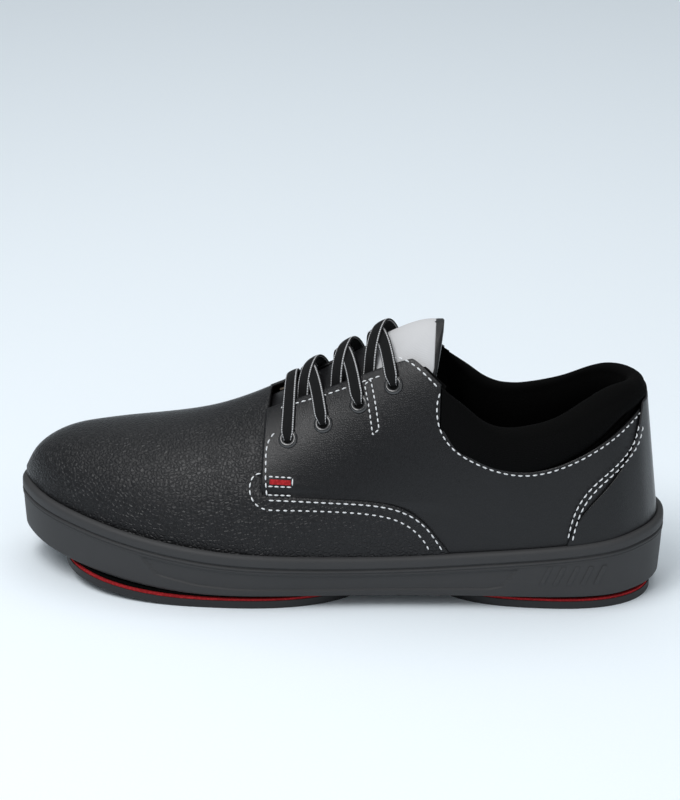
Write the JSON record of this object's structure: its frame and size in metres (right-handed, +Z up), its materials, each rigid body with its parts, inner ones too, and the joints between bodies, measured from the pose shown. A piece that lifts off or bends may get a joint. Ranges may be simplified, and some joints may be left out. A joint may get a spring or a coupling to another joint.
{
  "type": "bowling shoe",
  "caption": "Low lace-up black leather sports shoe for the left foot, padded collar, cupped rubber sole, pull-off hexagon tread discs under ball and heel.",
  "frame": {"origin": "centre of the bounding box on the floor, under the middle of the shoe", "axes": "+X towards the heel, -X towards the toe, -Y towards the outer side of this left shoe, +Z up"},
  "size_m": [0.3004, 0.1061, 0.1223],
  "materials": {
    "sole_rubber": "matte dark grey moulded rubber",
    "tread_rubber": "matte black rubber with hexagon tread",
    "pebbled_leather": "black pebble-grain leather, satin",
    "smooth_leather": "black fine-grain leather, soft sheen",
    "collar_cloth": "matte black textile",
    "lining_cloth": "black knitted lining",
    "foam": "dark open-cell foam",
    "board": "fibre board and thermoplastic stiffener",
    "steel": "plain strip",
    "loop_cloth": "black loop pile",
    "hook_red": "red hook tape",
    "label_grey": "light grey woven label, blank",
    "eyelet_black": "black enamel",
    "lace_cloth": "black flat braid with two white edge lines"
  },
  "bodies": {
    "shoe": {"cupsole": "sole_rubber", "midsole_filler": "foam", "shank": "steel", "insole_board": "board", "footbed": "foam", "footbed_cover": "lining_cloth", "forefoot_loop_pad": "loop_cloth", "heel_loop_pad": "loop_cloth", "vamp": "pebbled_leather", "lateral_quarter": "smooth_leather", "medial_quarter": "smooth_leather", "backstay": "smooth_leather", "toe_puff": "board", "heel_counter": "board", "lateral_facing_stay": "board", "medial_facing_stay": "board", "vamp_lining": "lining_cloth", "quarter_lining": "lining_cloth", "collar_foam": "foam", "collar_cover": "collar_cloth", "lateral_eyelets": "eyelet_black", "medial_eyelets": "eyelet_black", "lace": "lace_cloth"},
    "tongue": {"tongue_leather": "smooth_leather", "tongue_foam": "foam", "tongue_lining": "lining_cloth", "tongue_label": "label_grey"},
    "forefoot_disc": {"forefoot_hook_layer": "hook_red", "forefoot_tread_disc": "tread_rubber"},
    "heel_disc": {"heel_hook_layer": "hook_red", "heel_tread_disc": "tread_rubber"}
  },
  "joints": [
    {"name": "tongue_flex", "type": "hinge", "parent": "shoe", "child": "tongue", "pos_m": [-0.036, 0, 0.078], "axis": [0, 1, 0], "range_deg": [0, 9], "stiffness_Nm_per_rad": 0.5, "springref_deg": -4.58},
    {"name": "forefoot_disc_pull", "type": "slide", "parent": "shoe", "child": "forefoot_disc", "axis": [0, 0, -1], "range_m": [0, 0.025]},
    {"name": "heel_disc_pull", "type": "slide", "parent": "shoe", "child": "heel_disc", "axis": [0, 0, -1], "range_m": [0, 0.025]}
  ]
}
